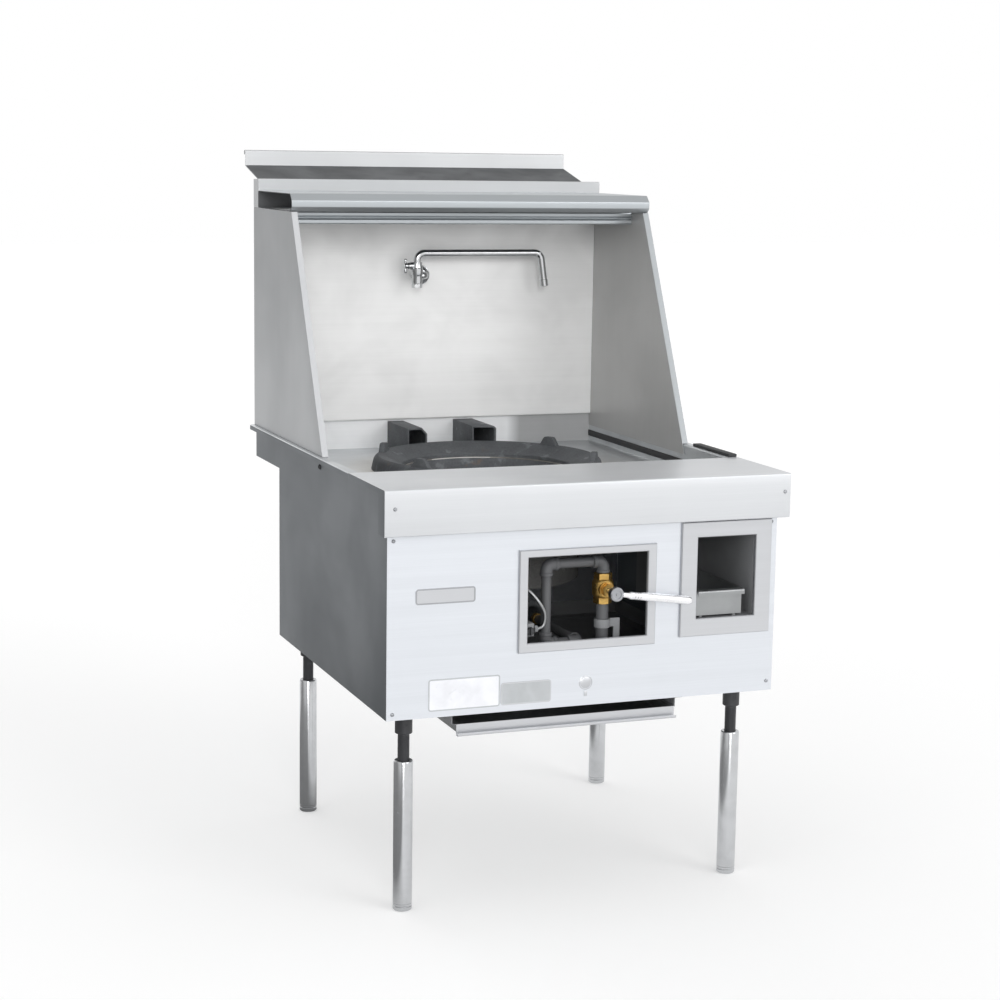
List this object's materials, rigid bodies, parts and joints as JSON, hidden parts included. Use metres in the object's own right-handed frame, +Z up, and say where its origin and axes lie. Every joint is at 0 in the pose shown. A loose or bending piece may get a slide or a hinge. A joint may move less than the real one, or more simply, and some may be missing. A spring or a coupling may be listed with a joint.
{
  "type": "wok range",
  "caption": "Freestanding gas wok range: cast ring in a recessed deck, tall splashes with a shelf, faucet, burner window and catch bin.",
  "frame": {"origin": "on the floor, in the middle of the range's length and width", "axes": "+X to the right seen from the front, +Y to the back, +Z up"},
  "size_m": [0.9144, 1.2532, 1.579],
  "materials": {
    "satin_steel": "fine brushed stainless steel",
    "side_steel": "darker satin steel",
    "frame_steel": "grey primed steel, semi-matt",
    "cast_iron": "rough black casting",
    "black_pipe": "black painted iron pipe",
    "chrome": "polished chrome plate",
    "brass": "machined brass",
    "chamber": "rough heat-stained chamber wall"
  },
  "bodies": {
    "range": {"back_panel": "satin_steel", "backsplash": "satin_steel", "base_frame": "frame_steel", "bin_frame": "satin_steel", "bin_housing": "frame_steel", "burner_bracket": "frame_steel", "burner_head": "cast_iron", "burner_mixer": "cast_iron", "chamber_shell": "chamber", "deck_pan": "satin_steel", "drain_spout": "satin_steel", "faucet_body": "chrome", "flue_collar": "satin_steel", "flue_deflector": "satin_steel", "flue_port_left": "cast_iron", "flue_port_right": "cast_iron", "flue_riser": "side_steel", "front_panel": "satin_steel", "gas_inlet_pipe": "black_pipe", "gas_outlet_pipe": "black_pipe", "gas_valve_body": "brass", "landing_ledge": "satin_steel", "leg_socket_front_left": "black_pipe", "leg_socket_front_right": "black_pipe", "leg_socket_rear_left": "black_pipe", "leg_socket_rear_right": "black_pipe", "orifice_spud": "brass", "pilot_burner": "brass", "pilot_tube": "chrome", "pilot_valve": "frame_steel", "pipe_clamp": "frame_steel", "rear_enclosure": "satin_steel", "shelf_rail": "satin_steel", "side_panel_left": "side_steel", "side_panel_right": "side_steel", "splash_left": "satin_steel", "splash_right": "satin_steel", "top_shelf": "satin_steel", "tray_rail_left": "frame_steel", "tray_rail_right": "frame_steel", "water_inlet": "brass", "window_frame": "satin_steel", "wok_ring": "cast_iron"},
    "valve_lever": {"gas_valve_lever": "chrome"},
    "spout": {"faucet_spout": "chrome"},
    "water_handle": {"faucet_handle": "chrome"},
    "pilot_knob": {"pilot_knob": "black_pipe"},
    "bin": {"catch_bin": "satin_steel"},
    "tray": {"crumb_tray": "satin_steel", "tray_front": "satin_steel"},
    "leg_front_left": {"leg_tube_front_left": "chrome", "leg_foot_front_left": "chrome"},
    "leg_front_right": {"leg_tube_front_right": "chrome", "leg_foot_front_right": "chrome"},
    "leg_rear_left": {"leg_tube_rear_left": "chrome", "leg_foot_rear_left": "chrome"},
    "leg_rear_right": {"leg_tube_rear_right": "chrome", "leg_foot_rear_right": "chrome"}
  },
  "joints": [
    {"name": "gas_valve_turn", "type": "hinge", "parent": "range", "child": "valve_lever", "pos_m": [0.055, -0.60165, 0.673], "axis": [0, 1, 0], "range_deg": [0, 90]},
    {"name": "spout_swing", "type": "hinge", "parent": "range", "child": "spout", "pos_m": [-0.06, 0.36335, 1.314], "axis": [0, 0, 1], "range_deg": [-170, 0]},
    {"name": "water_handle_turn", "type": "hinge", "parent": "range", "child": "water_handle", "pos_m": [-0.088, 0.36335, 1.305], "axis": [1, 0, 0], "range_deg": [0, 90]},
    {"name": "pilot_knob_turn", "type": "hinge", "parent": "range", "child": "pilot_knob", "pos_m": [-0.123, -0.58165, 0.597], "axis": [0, 1, 0], "range_deg": [0, 90]},
    {"name": "catch_bin_slide", "type": "slide", "parent": "range", "child": "bin", "axis": [0, -1, 0], "range_m": [0, 0.22]},
    {"name": "crumb_tray_slide", "type": "slide", "parent": "range", "child": "tray", "axis": [0, -1, 0], "range_m": [0, 0.45]},
    {"name": "leg_level_front_left", "type": "slide", "parent": "range", "child": "leg_front_left", "axis": [0, 0, -1], "range_m": [0, 0.025]},
    {"name": "leg_level_front_right", "type": "slide", "parent": "range", "child": "leg_front_right", "axis": [0, 0, -1], "range_m": [0, 0.025]},
    {"name": "leg_level_rear_left", "type": "slide", "parent": "range", "child": "leg_rear_left", "axis": [0, 0, -1], "range_m": [0, 0.025]},
    {"name": "leg_level_rear_right", "type": "slide", "parent": "range", "child": "leg_rear_right", "axis": [0, 0, -1], "range_m": [0, 0.025]}
  ]
}
